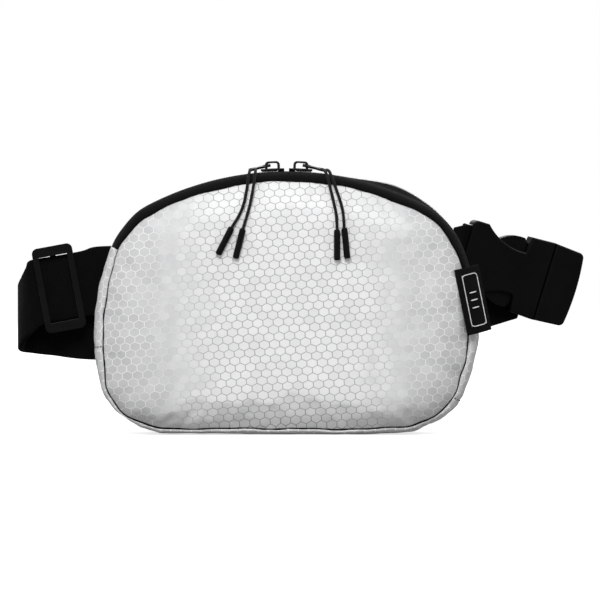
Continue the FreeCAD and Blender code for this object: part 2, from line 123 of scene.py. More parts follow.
# ---- materials ------------------------------------------------------------------------------
class Shader:
    """A Principled material and short calls for the nodes that feed it."""

    def __init__(self, name, roughness=0.5, specular=0.5, **values):
        self.material = bpy.data.materials.new(name)
        self.material.use_nodes = True
        self.tree = self.material.node_tree
        self.bsdf = self.tree.nodes["Principled BSDF"]
        self.set("Roughness", roughness)
        self.set("Specular IOR Level", specular)
        for key, value in values.items():
            self.set(key.replace("_", " ").title(), value)

    def set(self, socket, value):
        target = self.bsdf.inputs[socket]
        if isinstance(value, bpy.types.NodeSocket):
            self.tree.links.new(value, target)
        elif isinstance(value, (tuple, list)) and len(value) == 3:
            target.default_value = (*value, 1.0)
        else:
            target.default_value = value

    def node(self, kind, inputs=(), output=0, **settings):
        node = self.tree.nodes.new("ShaderNode" + kind)
        for key, value in settings.items():
            setattr(node, key, value)
        pairs = inputs.items() if isinstance(inputs, dict) else enumerate(inputs)
        for key, value in pairs:
            if value is None:
                continue
            if isinstance(value, bpy.types.NodeSocket):
                self.tree.links.new(value, node.inputs[key])
            else:
                node.inputs[key].default_value = value
        return node.outputs[output]

    def math(self, operation, *values):
        return self.node("Math", values, operation=operation)

    def vector(self, operation, *values):
        wants_number = operation in ("DOT_PRODUCT", "LENGTH", "DISTANCE")
        output = "Value" if wants_number else "Vector"
        return self.node("VectorMath", values, output, operation=operation)

    def ramp(self, value, low, high, to_low=0.0, to_high=1.0):
        names = {"Value": value, "From Min": low, "From Max": high, "To Min": to_low, "To Max": to_high}
        return self.node("MapRange", names, interpolation_type="SMOOTHSTEP")

    def parts(self, vector):
        """The x, y and z of a vector."""
        node = self.tree.nodes.new("ShaderNodeSeparateXYZ")
        self.tree.links.new(vector, node.inputs[0])
        return node.outputs

    def blend(self, factor, one, other):
        """Between two colours, each a triple or a socket."""
        one, other = [(*end, 1.0) if isinstance(end, tuple) else end for end in (one, other)]
        return self.node("Mix", {0: factor, 6: one, 7: other}, 2, data_type="RGBA")

    def uv(self):
        return self.node("UVMap", uv_map="cloth")

    def place(self):
        return self.node("TexCoord", output="Object")

    def noise(self, vector, scale, detail=3.0, rough=0.55):
        names = {"Vector": vector, "Scale": scale, "Detail": detail, "Roughness": rough}
        return self.node("TexNoise", names)

    def bump(self, height, distance, strength=1.0, under=None):
        names = {"Height": height, "Distance": distance, "Strength": strength}
        if under is not None:
            names["Normal"] = under
        return self.node("Bump", names)


HEX_PITCH = 5.35              # mm between the middles of neighbouring cells in a row
HEX_ROW = 3.75                # mm between rows
HEX_TILT = -0.07              # the cloth's grain against the pack's middle line
REGULAR_ROW = math.sqrt(3) / 2
RAISED_LINE = (0.45, 0.478)   # in pitches from a cell's middle, where its line starts and is full
PAINTED_SIDE_FROM, PAINTED_SIDE_TO = 50.0, 104.0    # mm from the middle line over which the colour turns from the front-lit copy to the painted side shade and reflection, where the front curves away
PAINTED_SIDE_WANDER = 44.0            # mm by which that place wanders
# Lit and shaded copies of the cloth: facing the front the cells are lighter and the lines grey; towards the
# sides the cells are painted darker as shade and the lines painted near-white as reflected side light.
FRONT_LIT_CELLS = ((0.77, 0.775, 0.78), (0.88, 0.885, 0.885))
SIDE_CELLS_PAINTED_SHADE = ((0.52, 0.525, 0.53), (0.66, 0.665, 0.665))
FRONT_LIT_LINE = (0.36, 0.365, 0.37)
SIDE_LINE_PAINTED_REFLECTION = (0.90, 0.905, 0.91)


def shades(colour, *factors):
    """The colour, darker or lighter by each factor."""
    return [tuple(factor * c for c in colour) for factor in factors]


def weave_height(shader, uv, pitch, ways=(1.0, 1.0)):
    """Plain weave: two sets of threads, pitch mm apart, that pass over each other in turn."""
    turned = shader.parts(shader.vector("SCALE", uv, None, None, 2 * PI / pitch))
    across = shader.math("SINE", shader.math("MULTIPLY", turned[0], ways[0]))
    along = shader.math("SINE", shader.math("MULTIPLY", turned[1], ways[1]))
    return shader.math("MULTIPLY", across, along)


def hex_fabric():
    """Coated honeycomb ripstop: pale satin cells between shinier raised lines of thicker thread. Towards the
    sides the cells are painted darker as shade and the lines painted near-white as reflected light.
    """
    s = Shader("honeycomb_ripstop", roughness=0.6, specular=0.2, sheen_weight=0.1, sheen_roughness=0.5)
    uv = s.uv()
    grain = s.node("VectorRotate", {"Vector": uv, "Angle": HEX_TILT}, rotation_type="Z_AXIS")
    wander = s.node("TexNoise", {"Vector": grain, "Scale": 0.035, "Detail": 1.0}, "Color")
    drift = s.vector("SCALE", s.vector("SUBTRACT", wander, (0.5, 0.5, 0.5)), None, None, 0.9)
    cells = s.vector("MULTIPLY", s.vector("ADD", grain, drift),
                     (1 / HEX_PITCH, REGULAR_ROW / HEX_ROW, 0.0))
    half = (0.5, REGULAR_ROW, 1.0)
    minus = (-0.5, -REGULAR_ROW, -1.0)
    one = s.vector("WRAP", cells, half, minus)
    two = s.vector("WRAP", s.vector("SUBTRACT", cells, (0.5, REGULAR_ROW, 0.0)), half, minus)
    nearer = s.math("LESS_THAN", s.vector("DOT_PRODUCT", one, one), s.vector("DOT_PRODUCT", two, two))
    inside = s.node("Mix", {0: nearer, 4: two, 5: one}, 1, data_type="VECTOR")
    off = s.parts(s.vector("ABSOLUTE", inside))
    slant = s.math("MULTIPLY_ADD", off[1], REGULAR_ROW, s.math("MULTIPLY", off[0], 0.5))
    edge = s.math("MAXIMUM", off[0], slant)
    fray = s.math("MULTIPLY", s.math("SUBTRACT", s.noise(grain, 2.2, 2.0), 0.5), 0.03)
    line = s.ramp(s.math("ADD", edge, fray), *RAISED_LINE)
    name = s.vector("SNAP", s.vector("ADD", s.vector("SUBTRACT", cells, inside), (0.1, 0.1, 0.0)),
                    (0.25, 0.25, 1.0))
    chance = s.node("TexWhiteNoise", {"Vector": name}, "Value", noise_dimensions="3D")
    threads = weave_height(s, grain, 0.55)
    shade = s.math("ADD", s.math("MULTIPLY", chance, 0.06), s.math("MULTIPLY", s.noise(grain, 0.09), 0.08))
    shade = s.ramp(s.math("ADD", shade, s.math("MULTIPLY", threads, 0.012)), 0.0, 0.14)
    # Painted light: away from the middle line the cells darken as painted shade and the lines whiten as a
    # painted reflection.
    wander = s.math("MULTIPLY", s.noise(grain, 0.05, 3.0), PAINTED_SIDE_WANDER)
    reach = s.math("ADD", s.math("ABSOLUTE", s.parts(uv)[0]), wander)
    painted_side_light = s.ramp(reach, PAINTED_SIDE_FROM, PAINTED_SIDE_TO)
    low, high = [s.blend(painted_side_light, flat, side) for flat, side in zip(FRONT_LIT_CELLS, SIDE_CELLS_PAINTED_SHADE)]
    s.set("Base Color", s.blend(line, s.blend(shade, low, high), s.blend(painted_side_light, FRONT_LIT_LINE, SIDE_LINE_PAINTED_REFLECTION)))
    s.set("Roughness", s.ramp(line, 0.0, 1.0, 0.64, 0.45))
    height = s.math("ADD", s.math("MULTIPLY", line, 0.75), s.math("MULTIPLY", threads, 0.12))
    s.set("Normal", s.bump(height, 0.09 * MM, 0.9))
    return s.material


def woven_black(name, colour, rib, step, shine=0.12, roughness=0.78):
    """Webbing or tape: ribs rib mm apart across it, crossed by weft every step mm."""
    s = Shader(name, roughness=roughness, specular=shine, sheen_weight=0.04, sheen_roughness=0.5)
    uv = s.uv()
    height = weave_height(s, uv, 1.0, (1 / rib, 1 / step))
    fibres = s.noise(uv, 6.0, 2.0)
    wear = s.ramp(s.noise(uv, 0.12, 4.0), 0.35, 0.75)
    ribs = s.math("MULTIPLY", s.ramp(height, -1.0, 1.0), 0.6)
    tone = s.math("ADD", ribs, s.math("MULTIPLY", fibres, 0.4))
    dark, light, worn = shades(colour, 0.45, 1.5, 1.9)
    s.set("Base Color", s.blend(s.math("MULTIPLY", wear, 0.35), s.blend(tone, dark, light), worn))
    mixed = s.math("ADD", height, s.math("MULTIPLY", fibres, 0.5))
    s.set("Normal", s.bump(mixed, 0.12 * MM, 0.8))
    return s.material


EDGE_ROUND = 0.35             # mm, the mould's own radius along an edge
EDGE_LIFT_WEAR_AND_HIGHLIGHT = 0.03                 # how much lighter an edge is painted: handling wear and a painted highlight


def moulded(name, colour, roughness, specular, grain=900.0, coat=0.0, painted_top_highlight=0.0):
    """Moulded plastic or painted metal: spark grain, handling marks, edges lighter from handling wear and a
    painted highlight, and upward faces painted lighter as a highlight from above.
    """
    s = Shader(name, roughness=roughness, specular=specular, coat_weight=coat, coat_roughness=0.2)
    place = s.place()
    spark = s.noise(place, grain, 2.0)
    marks = s.noise(place, 60.0, 4.0)
    softened = s.node("Bevel", {"Radius": EDGE_ROUND * MM}, samples=6)
    flat = s.node("NewGeometry", output="Normal")
    turned = s.vector("DOT_PRODUCT", softened, flat)
    # Edges painted lighter: partly handling wear, partly a painted highlight along the bevels.
    edge_wear_and_highlight = s.math("MULTIPLY", s.ramp(turned, 0.99, 0.86), s.ramp(marks, 0.35, 0.7, 0.15, 0.7))
    plain = s.blend(marks, *shades(colour, 0.7, 1.35))
    # Upward-facing surfaces painted lighter: a painted highlight from light falling from above.
    if painted_top_highlight:
        top_highlight_mask = s.ramp(s.parts(softened)[2], 0.3, 0.85)
        plain = s.blend(top_highlight_mask, plain, tuple(c + painted_top_highlight for c in colour))
    s.set("Base Color", s.blend(edge_wear_and_highlight, plain, tuple(3.0 * c + EDGE_LIFT_WEAR_AND_HIGHLIGHT for c in colour)))
    s.set("Roughness", s.ramp(marks, 0.2, 0.8, roughness - 0.06, roughness + 0.08))
    s.set("Normal", s.bump(spark, 0.05 * MM, 0.3, softened))
    return s.material


def braid(name, colour):
    """Braided cord: two crossing sets of strands, from the curve's own coordinates."""
    s = Shader(name, roughness=0.7, specular=0.2, sheen_weight=0.05)
    uv = s.node("TexCoord", output="UV")
    along, around = s.parts(s.vector("MULTIPLY", uv, (60.0, 6.0, 1.0)))[:2]
    one, two = [s.math("SINE", s.math("MULTIPLY", s.math(way, along, around), PI))
                for way in ("ADD", "SUBTRACT")]
    height = s.math("MAXIMUM", one, two)
    s.set("Base Color", s.blend(s.ramp(height, -0.6, 1.0), *shades(colour, 0.3, 1.6)))
    s.set("Normal", s.bump(height, 0.15 * MM, 0.8))
    return s.material


def plain_thread(name, colour, roughness=0.6):
    s = Shader(name, roughness=roughness, specular=0.25)
    fibres = s.noise(s.place(), 2500.0, 2.0)
    s.set("Base Color", s.blend(fibres, *shades(colour, 0.7, 1.15)))
    s.set("Normal", s.bump(fibres, 0.05 * MM, 0.6))
    return s.material


BLACK = (0.0022, 0.0022, 0.0024)
MATERIALS = {
    "shell_fabric": hex_fabric(),
    "lining": woven_black("lining_cloth", (0.08, 0.08, 0.085), 0.35, 0.35, 0.2, 0.6),
    "binding": woven_black("binding_tape", BLACK, 0.5, 0.5),
    "zipper_tape": woven_black("zipper_twill", (0.0034, 0.0034, 0.0036), 0.6, 0.9, 0.06, 0.85),
    "zipper_coil": moulded("coil_nylon", (0.004, 0.004, 0.0042), 0.45, 0.2),
    "label": woven_black("label_satin", (0.0026, 0.0028, 0.0028), 0.22, 0.3, 0.06, 0.75),
    "webbing": woven_black("webbing_weave", BLACK, 1.7, 1.15, 0.05, 0.85),
    "buckle_plastic": moulded("buckle_acetal", (0.0018, 0.0018, 0.0019), 0.4, 0.08, painted_top_highlight=0.045),
    "glide_plastic": moulded("glide_acetal", (0.0020, 0.0020, 0.0021), 0.34, 0.14, painted_top_highlight=0.03),
    "slider_metal": moulded("slider_paint", (0.0028, 0.0028, 0.0029), 0.36, 0.25, 600.0, 0.1),
    "cord": braid("cord_braid", (0.0030, 0.0030, 0.0032)),
    "tip_plastic": moulded("tip_vinyl", (0.0022, 0.0022, 0.0023), 0.46, 0.1),
}
LABEL_THREAD = plain_thread("label_thread", (0.75, 0.76, 0.76))
SEAM_THREAD = plain_thread("seam_thread", (0.012, 0.012, 0.0125), 0.8)


# ---- pieces -----------------------------------------------------------------------------------
def settle(piece, slot, body, replaced=(), material=None):
    piece.data.materials.append(material or MATERIALS[slot])
    if body:
        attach(piece, body)
    if replaced:
        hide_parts(*replaced)
    return piece


def mesh_object(name, points, faces, uvs=None):
    """points in mm; uvs, one a point and in mm too, carry the weave."""
    mesh = bpy.data.meshes.new(name)
    mesh.from_pydata([tuple(Vector(p) * MM) for p in points], [], faces)
    if uvs:
        layer = mesh.uv_layers.new(name="cloth")
        for loop in mesh.loops:
            layer.data[loop.index].uv = uvs[loop.vertex_index]
    mesh.polygons.foreach_set("use_smooth", [True] * len(mesh.polygons))
    mesh.update()
    piece = bpy.data.objects.new(name, mesh)
    bpy.context.scene.collection.objects.link(piece)
    return piece


def grid_faces(rows, columns, wrap=False):
    """Quads over points laid row by row; wrap joins each row's end to its start."""
    faces = []
    last = columns if wrap else columns - 1
    for r in range(rows - 1):
        for c in range(last):
            d = (c + 1) % columns
            faces.append((r * columns + c, r * columns + d, (r + 1) * columns + d, (r + 1) * columns + c))
    return faces


def apply_modifier(piece, kind, **settings):
    modifier = piece.modifiers.new(kind.lower(), kind)
    for key, value in settings.items():
        setattr(modifier, key, value)
    with bpy.context.temp_override(object=piece, active_object=piece, selected_objects=[piece]):
        bpy.ops.object.modifier_apply(modifier=modifier.name)


def thicken(piece, thickness):
    """Smooth a sheet of cloth and give it its thickness, inwards."""
    apply_modifier(piece, "SUBSURF", levels=1, render_levels=1)
    apply_modifier(piece, "SOLIDIFY", thickness=thickness * MM, offset=-1.0)


def smooth_line(points, step):
    """Points along a Catmull-Rom line through the given ones, about step apart."""
    ends = [points[0] * 2 - points[1]] + list(points) + [points[-1] * 2 - points[-2]]
    line = []
    for a, b, c, d in zip(ends, ends[1:], ends[2:], ends[3:]):
        count = max(2, round((c - b).length / step))
        for i in range(count):
            t = i / count
            line.append(0.5 * (2 * b + (c - a) * t + (2 * a - 5 * b + 4 * c - d) * t * t
                               + (3 * b - a - 3 * c + d) * t ** 3))
    line.append(points[-1].copy())
    return line


def ribbon(name, stations, width, thickness, step=1.5, columns=18):
    """Webbing through stations of (middle, direction across), with round selvedges and cut ends."""
    middles = smooth_line([Vector(p) for p, _ in stations], step)
    counts = [max(2, round((Vector(q) - Vector(p)).length / step))
              for (p, _), (q, _) in zip(stations, stations[1:])]
    leans = []
    for count, (_, a), (_, b) in zip(counts, stations, stations[1:]):
        leans += [Vector(a).normalized().lerp(Vector(b).normalized(), i / count) for i in range(count)]
    leans.append(Vector(stations[-1][1]).normalized())
    half, thick = width / 2, thickness / 2
    section = []
    for i in range(columns + 1):
        section.append((-half + thick + (width - thickness) * i / columns, thick))
    section.append((half, 0.0))
    for i in range(columns + 1):
        section.append((half - thick - (width - thickness) * i / columns, -thick))
    section.append((-half, 0.0))
    points, uvs, travelled = [], [], 0.0
    for i, (middle, lean) in enumerate(zip(middles, leans)):
        ahead = middles[min(i + 1, len(middles) - 1)]
        behind = middles[max(i - 1, 0)]
        tangent = (ahead - behind).normalized()
        normal = tangent.cross(lean).normalized()
        if i:
            travelled += (middle - middles[i - 1]).length
        for a, b in section:
            points.append(middle + lean * a + normal * b)
            uvs.append((a, travelled))
    size = len(section)
    faces = grid_faces(len(middles), size, wrap=True)
    faces.append(tuple(reversed(range(size))))
    faces.append(tuple((len(middles) - 1) * size + i for i in range(size)))
    piece = mesh_object(name, points, faces, uvs)
    for polygon in piece.data.polygons[-2:]:
        polygon.use_smooth = False
    return piece


def tube(name, points, radius, sides=8):
    """A round thread or piping along points; radius is one number, or a list with one for each point."""
    radii = radius if isinstance(radius, list) else [radius] * len(points)
    verts, uvs, travelled = [], [], 0.0
    for i, point in enumerate(points):
        tangent = (points[min(i + 1, len(points) - 1)] - points[max(i - 1, 0)]).normalized()
        first = first - tangent * first.dot(tangent) if i else tangent.orthogonal()
        first.normalize()
        second = tangent.cross(first)
        if i:
            travelled += (point - points[i - 1]).length
        reach = radii[i] * (0.55 if i in (0, len(points) - 1) else 1.0)
        for k in range(sides):
            angle = 2 * PI * k / sides
            verts.append(point + (first * math.cos(angle) + second * math.sin(angle)) * reach)
            uvs.append((reach * angle, travelled))
    faces = grid_faces(len(points), sides, wrap=True)
    faces.append(tuple(reversed(range(sides))))
    faces.append(tuple((len(points) - 1) * sides + k for k in range(sides)))
    return mesh_object(name, verts, faces, uvs)


def joined(name, pieces):
    """One piece from several, which keep their own cloth coordinates."""
    bpy.ops.object.select_all(action="DESELECT")
    for piece in pieces:
        piece.select_set(True)
    bpy.context.view_layer.objects.active = pieces[0]
    with bpy.context.temp_override(active_object=pieces[0], selected_editable_objects=pieces):
        bpy.ops.object.join()
    pieces[0].name = name
    pieces[0].data.name = name
    return pieces[0]


# ---- the pack's outline ----------------------------------------------------------------------
BAG_HEIGHT = in_mm(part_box("zipper_tape_front")[1]).z
CROWN_RADIUS = 160.0
SHOULDER_RADIUS = 46.0
SIDE_RADIUS = 122.0
TURNS = (27.0, 72.0, 104.0)   # degrees from the top's middle where each arc ends
FRONT_SEAM_INSET = 4.6
FRONT_SEAM_Y = -17.4
REAR_SEAM_INSET = 3.0
REAR_SEAM_Y = 21.0
COIL_HALF_WIDTH = 3.2
REAR_TAPE_Y = 12.0


def outline_arcs():
    """Centre x, centre z, radius, first turn and last turn of the right-hand arcs."""
    radii = (CROWN_RADIUS, SHOULDER_RADIUS, SIDE_RADIUS)
    x, z = 0.0, BAG_HEIGHT - CROWN_RADIUS
    arcs = [(x, z, CROWN_RADIUS, 0.0, TURNS[0])]
    for i in (1, 2):
        turn = math.radians(TURNS[i - 1])
        x += (radii[i - 1] - radii[i]) * math.sin(turn)
        z += (radii[i - 1] - radii[i]) * math.cos(turn)
        arcs.append((x, z, radii[i], TURNS[i - 1], TURNS[i]))
    turn = math.radians(TURNS[2])
    corner = (z + SIDE_RADIUS * math.cos(turn)) / (1 + math.cos(turn))
    x += (SIDE_RADIUS - corner) * math.sin(turn)
    arcs.append((x, corner, corner, TURNS[2], 180.0))
    return arcs


ARCS = outline_arcs()
HALF_ROUND = sum(arc[2] * math.radians(arc[4] - arc[3]) for arc in ARCS) + ARCS[3][0]
# how far the filled pack's skin sits inside that outline, by distance from the top's middle
SLACK = [(-290, 0.0), (-232, 0.5), (-212, 1.0), (-196, -0.2), (-182, -0.9), (-165, -0.7), (-150, 0.0),
         (-130, 0.4), (-114, 1.2), (-96, 0.9), (-80, 0.0), (80, 0.0), (96, 0.3), (107, 0.6), (125, 0.3),
         (155, -0.1), (168, 0.7), (180, 1.9), (193, 1.8), (206, 2.3), (216, 2.4), (234, 0.6), (252, 0.0),
         (290, 0.0)]
# how far the front seam sits inside the skin's edge
SEAM_INSET = [(-290, 3.6), (-232, 3.2), (-205, 2.6), (-185, 3.4), (-160, 5.4), (-140, 5.6), (-112, 4.8),
              (-80, 5.4), (0, 5.4), (80, 5.2), (100, 5.0), (120, 4.6), (150, 5.8), (175, 5.6), (195, 4.4),
              (215, 3.8), (250, 3.4), (290, 3.6)]


def eased(table, s):
    for (a, low), (b, high) in zip(table, table[1:]):
        if s <= b:
            t = (s - a) / (b - a)
            return low + (high - low) * t * t * (3 - 2 * t)
    return table[-1][1]


def rim(s):
    """Point and outward direction on the outline, s mm along it from the top's middle."""
    side = 1.0 if s >= 0 else -1.0
    left = abs(s)
    for x, z, radius, first, last in ARCS:
        length = radius * math.radians(last - first)
        if left <= length:
            turn = math.radians(first) + left / radius
            out = Vector((side * math.sin(turn), 0.0, math.cos(turn)))
            return Vector((side * x, 0.0, z)) + out * radius, out
        left -= length
    return Vector((side * (ARCS[3][0] - left), 0.0, 0.0)), Vector((0.0, 0.0, -1.0))


def skin_point(s, inset, y):
    point, out = rim(s)
    return point - out * (inset + eased(SLACK, s)) + Vector((0.0, y, 0.0))


def seam_inset(s):
    return eased(SEAM_INSET, s) + 0.25 * math.sin(s / 7.3) + 0.15 * math.sin(s / 3.1 + 1.0)


# ---- front panel: cloth gathered into its seam and blown up a little ----------------------------
PANEL_CELLS = 96
BACK_CELLS = 72
LINING_CELLS = 40
PANEL_MIDDLE = Vector((0.0, 0.0, 68.0))
PANEL_DEPTH = 10.2
PANEL_ROLL = 6.4
RIM_CROWDING = 1.12           # points stand closer together towards the seam
FRONT_CLOTH = 1.0             # mm, cloth with its foam backing
BACK_CLOTH = 0.9
TAPE = 0.7
PUFF_CAP = 1.1                # mm a point may move outwards, so that the cords keep clear
SIM_FRAMES = 20


def square_place(u, v):
    """Distance from the middle, 0 to 1, and the way round, -1 to 1, of a point of the square."""
    reach = max(abs(u), abs(v))
    if reach < 1e-9:
        return 0.0, 0.0
    if v >= reach - 1e-12:
        way = u / reach
    elif u >= reach - 1e-12:
        way = 2 - v / reach
    elif v <= -reach + 1e-12:
        way = 4 - u / reach if u > 0 else -4 - u / reach
    else:
        way = -2 + v / reach
    return reach, way / 4


def square_grid(cells):
    """square_place of each point of a square of that many cells a side, row by row."""
    for j in range(cells + 1):
        for i in range(cells + 1):
            yield square_place(2 * i / cells - 1, 2 * j / cells - 1)


def crown_y(depth):
    return FRONT_SEAM_Y - PANEL_DEPTH * (1 - math.exp(-depth / PANEL_ROLL))


def rest_bulge(x, z, depth, s):
    """Unevenness of a stuffed pack's front: broad swells, and gathers that run in from the seam."""
    broad = noise.noise(Vector((x / 34.0, z / 26.0, 3.7))) * 0.5
    broad += noise.noise(Vector((x / 13.0, z / 11.0, 9.1))) * 0.12
    gathers = noise.noise(Vector((s / 6.5, 2.2, 0.0))) * 0.8
    gathers += noise.noise(Vector((s / 2.9, 7.7, 0.0))) * 0.3
    return broad * min(1.0, depth / 12.0) + gathers * min(1.0, depth / 1.5) * math.exp(-depth / 7.0)


def make_front_panel():
    points, uvs, pinned = [], [], []
    for reach, way in square_grid(PANEL_CELLS):
        s = way * HALF_ROUND
        edge = skin_point(s, seam_inset(s), 0.0)
        flat = PANEL_MIDDLE.lerp(edge, 1 - (1 - reach) ** RIM_CROWDING)
        depth = (edge - flat).length
        if reach > 1 - 0.5 / PANEL_CELLS:
            pinned.append(len(points))
        points.append(Vector((flat.x, crown_y(depth) - rest_bulge(flat.x, flat.z, depth, s), flat.z)))
        uvs.append((flat.x, flat.z))
    panel = mesh_object("shell_front", points, grid_faces(PANEL_CELLS + 1, PANEL_CELLS + 1), uvs)
    turn_outwards(panel)
    blow_up(panel, points, pinned)
    thicken(panel, FRONT_CLOTH)
    settle(panel, "shell_fabric", "root", ["front_panel"])
    return panel


def blow_up(panel, points, pinned):
    """Cloth simulation held at the seam; each point keeps within the cap of where it started."""
    group = panel.vertex_groups.new(name="seam")
    group.add(pinned, 1.0, "REPLACE")
    modifier = panel.modifiers.new("cloth", "CLOTH")
    cloth = modifier.settings
    cloth.quality = 6
    cloth.mass = 0.25
    cloth.tension_stiffness = 25.0
    cloth.compression_stiffness = 25.0
    cloth.shear_stiffness = 8.0
    cloth.bending_stiffness = 2.0
    cloth.vertex_group_mass = "seam"
    cloth.use_pressure = True
    cloth.uniform_pressure_force = 2.0
    cloth.shrink_min = -0.008
    cloth.effector_weights.gravity = 0.0
    modifier.collision_settings.use_collision = False
    modifier.point_cache.frame_end = SIM_FRAMES
    scene = bpy.context.scene
    for step in range(1, SIM_FRAMES + 1):
        scene.frame_set(step)
    shown = panel.evaluated_get(bpy.context.evaluated_depsgraph_get())
    moved = [vertex.co / MM for vertex in shown.data.vertices]
    panel.modifiers.remove(modifier)
    scene.frame_set(1)
    for vertex, start, end in zip(panel.data.vertices, points, moved):
        shift = end - start
        if shift.length > PUFF_CAP:
            shift *= PUFF_CAP / shift.length
        vertex.co = (start + shift) * MM


# ---- gusset, zipper tapes and back: bands round the outline -----------------------------------
BAND_STEP = 1.5


def band(name, span, profile, thickness, crumple=None):
    """Cloth along part of the outline, and on past the bottom's middle, where distances change sign.
    profile gives (inset, y) across it at s; crumple gives how far its inner points move in."""
    start, end = span
    rows = round((end - start) / BAND_STEP) + 1
    columns = len(profile(0.0))
    points, uvs = [], []
    for r in range(rows):
        travelled = start + (end - start) * r / (rows - 1)
        s = travelled - 2 * HALF_ROUND if travelled > HALF_ROUND else travelled
        across = 0.0
        stations = profile(s)
        for c, (inset, y) in enumerate(stations):
            moved_in = crumple(s, y) if crumple and 0 < c < columns - 1 else 0.0
            points.append(skin_point(s, inset + moved_in, y))
            if c:
                across += math.hypot(inset - stations[c - 1][0], y - stations[c - 1][1])
            uvs.append((travelled, across))
    piece = mesh_object(name, points, grid_faces(rows, columns), uvs)
    turn_outwards(piece)
    thicken(piece, thickness)
    return piece


def turn_outwards(piece):
    """Face normals away from the pack's inside."""
    inside = Vector((0.0, 1.0, 68.0)) * MM
    lean = sum((p.center - inside).dot(p.normal) for p in piece.data.polygons)
    if lean < 0:
        piece.data.flip_normals()


def gusset_profile(s):
    seam = seam_inset(s)
    fade = min(1.0, max(0.0, (abs(s) - 100.0) / 16.0))
    roll = [(seam, FRONT_SEAM_Y), (seam - 0.5, FRONT_SEAM_Y - 0.75 * fade),
            (seam - 1.3, FRONT_SEAM_Y - 0.9 * fade), (seam * 0.45, FRONT_SEAM_Y + 0.2),
            (seam * 0.2, FRONT_SEAM_Y + 2.6), (0.35, FRONT_SEAM_Y + 6.2)]
    side = [(0.0, -6.0), (-0.3, -1.0), (-0.35, 4.0), (-0.2, 9.0), (0.0, 14.0), (0.7, 17.5), (1.7, 19.8)]
    return roll + side + [(REAR_SEAM_INSET, REAR_SEAM_Y)]


def front_tape_profile(s):
    seam = seam_inset(s)
    return [(seam, FRONT_SEAM_Y), (seam - 0.5, FRONT_SEAM_Y - 0.3), (seam - 1.5, FRONT_SEAM_Y + 0.1),
            (seam * 0.4, FRONT_SEAM_Y + 1.8), (seam * 0.15, FRONT_SEAM_Y + 4.6),
            (0.15, FRONT_SEAM_Y + 8.0), (0.1, -6.0), (0.05, -COIL_HALF_WIDTH), (0.2, -0.35)]


SWELL_RISE = 3.2
SWELL_MIDDLE = 60.0
SWELL_REACH = 20.0


def rear_swell(s):
    """Behind the sliders' path the opening's rear edge rides up over the load, right of the crown."""
    return SWELL_RISE * math.exp(-((s - SWELL_MIDDLE) / SWELL_REACH) ** 2)


def rear_tape_profile(s):
    up = rear_swell(s)
    return [(0.2, 0.35), (0.05, COIL_HALF_WIDTH), (0.05 - 0.25 * up, 6.4), (-0.9 * up, 9.0),
            (-up, REAR_TAPE_Y + 0.8)]


def rear_strip_profile(s):
    up = rear_swell(s)
    front = [(-0.25 - up, REAR_TAPE_Y - 0.6), (-0.45 - up, REAR_TAPE_Y - 0.2), (-0.4 - up, REAR_TAPE_Y + 1.2)]
    back = [(-0.9 * up, 15.0), (0.8 - 0.6 * up, 17.5), (1.8 - 0.2 * up, 19.8), (REAR_SEAM_INSET, REAR_SEAM_Y)]
    return front + back


# distances from the top's middle: the zipper's ends, and the seams across the gusset
ZIP_LEFT, ZIP_RIGHT = -106.0, 120.0
GUSSET_SEAMS = (-160.5, 191.5)
GUSSET_CALM = 225.0           # beyond this it lies nearly flat under the pack


def gusset_crumple(s, y):
    here = Vector((s / 8.0, y / 10.0, 4.4))
    rough = 0.9 * noise.noise(here) + 0.5 * noise.noise(here * 2.7)
    notch = sum(0.5 * math.exp(-((s - at) / 1.1) ** 2) for at in GUSSET_SEAMS)
    return rough * (1.0 if abs(s) < GUSSET_CALM else 0.25) + notch


def strip_crumple(s, y):
    rough = noise.noise(Vector((s / 9.0, y / 12.0, 4.4)))
    return 0.3 * (rough + 0.5 * noise.noise(Vector((s / 3.2, y / 5.0, 1.2))))


def make_bands():
    lower, upper = (ZIP_RIGHT, ZIP_LEFT + 2 * HALF_ROUND), (ZIP_LEFT, ZIP_RIGHT)
    rows = (
        ("shell_gusset", lower, gusset_profile, FRONT_CLOTH, gusset_crumple, "shell_fabric", "bottom_gusset"),
        ("zip_tape_front", upper, front_tape_profile, TAPE, None, "zipper_tape", "zipper_tape_front"),
        ("zip_tape_rear", upper, rear_tape_profile, TAPE, None, "zipper_tape", "zipper_tape_rear"),
        ("shell_rear_strip", upper, rear_strip_profile, BACK_CLOTH, strip_crumple, "shell_fabric",
         "rear_gusset_strip"),
    )
    for name, span, profile, thickness, crumple, slot, node in rows:
        settle(band(name, span, profile, thickness, crumple), slot, "root", [node])


def make_back_panel():
    """Back of the pack, flatter than the front."""
    points, uvs = [], []
    for reach, way in square_grid(BACK_CELLS):
        edge = skin_point(way * HALF_ROUND, REAR_SEAM_INSET, 0.0)
        flat = PANEL_MIDDLE.lerp(edge, reach)
        depth = (edge - flat).length
        rise = 1.6 * (1 - math.exp(-depth / 4.0))
        uneven = 0.35 * noise.noise(Vector((flat.x / 22.0, flat.z / 18.0, 6.0))) * min(1.0, depth / 10.0)
        points.append(Vector((flat.x, REAR_SEAM_Y + rise + uneven, flat.z)))
        uvs.append((flat.x, flat.z))
    piece = mesh_object("shell_back", points, grid_faces(BACK_CELLS + 1, BACK_CELLS + 1), uvs)
    turn_outwards(piece)
    thicken(piece, BACK_CLOTH)
    settle(piece, "shell_fabric", "root", ["back_panel"])


SEAM_PARTS = 484
SEAM_STATIONS = [-HALF_ROUND + 2 * HALF_ROUND * i / SEAM_PARTS for i in range(SEAM_PARTS + 1)]


